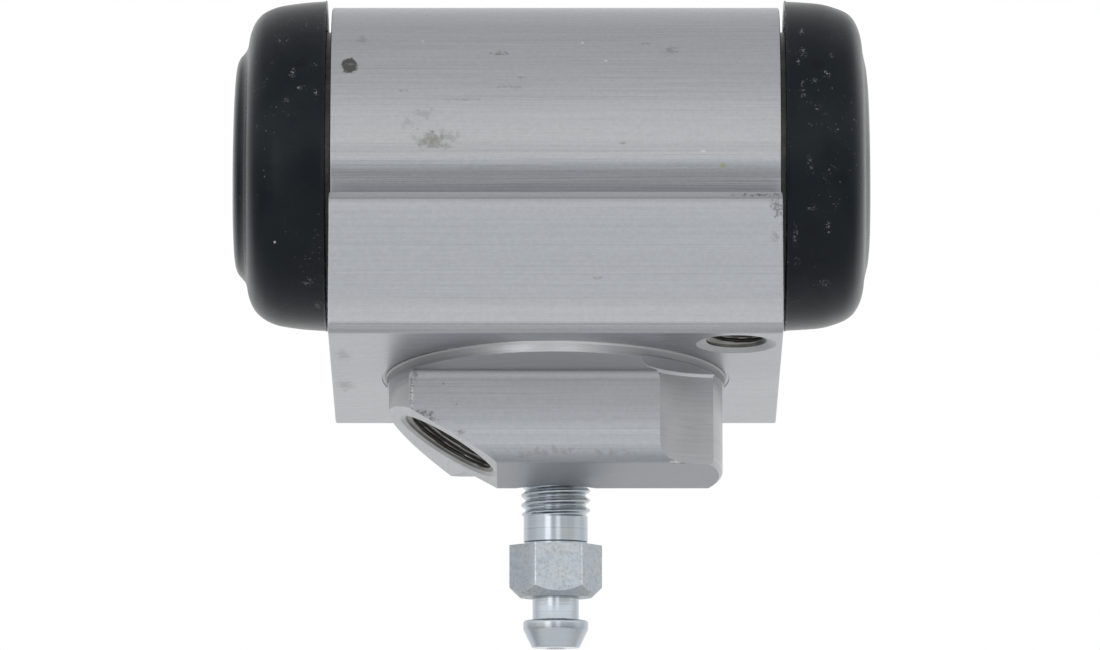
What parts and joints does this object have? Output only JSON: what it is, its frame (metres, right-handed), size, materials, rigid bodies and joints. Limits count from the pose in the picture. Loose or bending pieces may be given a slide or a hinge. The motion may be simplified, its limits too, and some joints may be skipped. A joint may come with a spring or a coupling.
{
  "type": "wheel cylinder",
  "caption": "Drum brake wheel cylinder: extruded aluminium body with foot and spigot stem, two opposed pistons in rubber boots, slanted inlet and bleed screw.",
  "frame": {"origin": "centre of the round spigot, in the plane of the mounting face that lies against the backing plate", "axes": "+X along the bore to the right piston, +Z from the mounting face towards the bore, -Y towards the side with the mounting screw hole and the stem's flat face"},
  "size_m": [0.0644, 0.043, 0.0641],
  "materials": {
    "body_aluminium": "satin extruded skin with fine drawing lines, machined faces",
    "plated_steel": "blue-white zinc plate, bright turned faces, matt hexagon",
    "piston_aluminium": "hard anodised",
    "seal_rubber": "smooth black",
    "pressed_steel": "pressed sheet",
    "spring_steel": "drawn wire",
    "boot_rubber": "satin moulded black with a little dust"
  },
  "bodies": {
    "cylinder": {"cylinder_body": "body_aluminium", "left_dust_boot": "boot_rubber", "right_dust_boot": "boot_rubber", "return_spring": "spring_steel"},
    "left_piston": {"left_piston": "piston_aluminium", "left_cup_seal": "seal_rubber", "left_cup_expander": "pressed_steel"},
    "right_piston": {"right_piston": "piston_aluminium", "right_cup_seal": "seal_rubber", "right_cup_expander": "pressed_steel"},
    "bleed_screw": {"bleed_screw": "plated_steel"}
  },
  "joints": [
    {"name": "left_piston_slide", "type": "slide", "parent": "cylinder", "child": "left_piston", "axis": [-1, 0, 0], "range_m": [-0.002, 0.006], "stiffness_N_per_m": 600, "deforming": ["left_dust_boot", "return_spring"]},
    {"name": "right_piston_slide", "type": "slide", "parent": "cylinder", "child": "right_piston", "axis": [1, 0, 0], "range_m": [-0.002, 0.006], "stiffness_N_per_m": 600, "deforming": ["right_dust_boot", "return_spring"]},
    {"name": "bleed_screw_turn", "type": "hinge", "parent": "cylinder", "child": "bleed_screw", "pos_m": [0, 0.0097, -0.0076], "axis": [0, 0.1305, -0.9914], "range_deg": [0, 270]}
  ]
}
